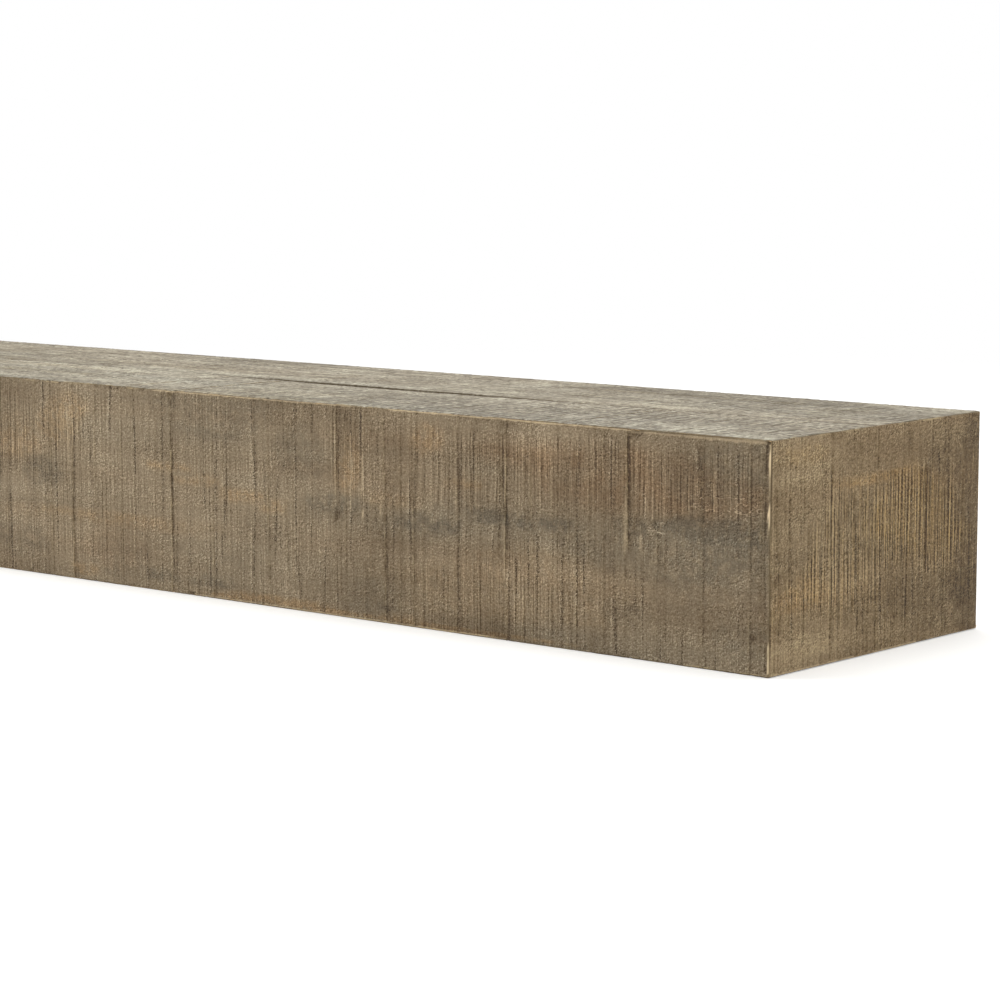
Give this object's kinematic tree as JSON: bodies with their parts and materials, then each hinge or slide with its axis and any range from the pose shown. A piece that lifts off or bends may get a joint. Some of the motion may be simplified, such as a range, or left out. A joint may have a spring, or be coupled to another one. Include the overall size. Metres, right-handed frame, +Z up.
{
  "type": "mantel shelf",
  "caption": "Box mantel shelf of mitred rough-sawn pine boards, hollow and open at the back, with a bevelled cleat inside for hanging on a wall rail.",
  "frame": {"origin": "on the underside, in the middle of the shelf's length and depth", "axes": "+X along the shelf to the right-hand end as seen from the room, +Y to the wall, +Z up; the front board faces -Y"},
  "size_m": [1.524, 0.2286, 0.1397],
  "materials": {
    "stained_pine": "matte",
    "bare_pine": "matte"
  },
  "bodies": {
    "root": {"front_board": "stained_pine", "top_front_board": "stained_pine", "top_rear_board": "stained_pine", "bottom_board": "stained_pine", "right_end_board": "stained_pine", "left_end_board": "stained_pine", "hanging_cleat": "bare_pine"}
  },
  "joints": []
}
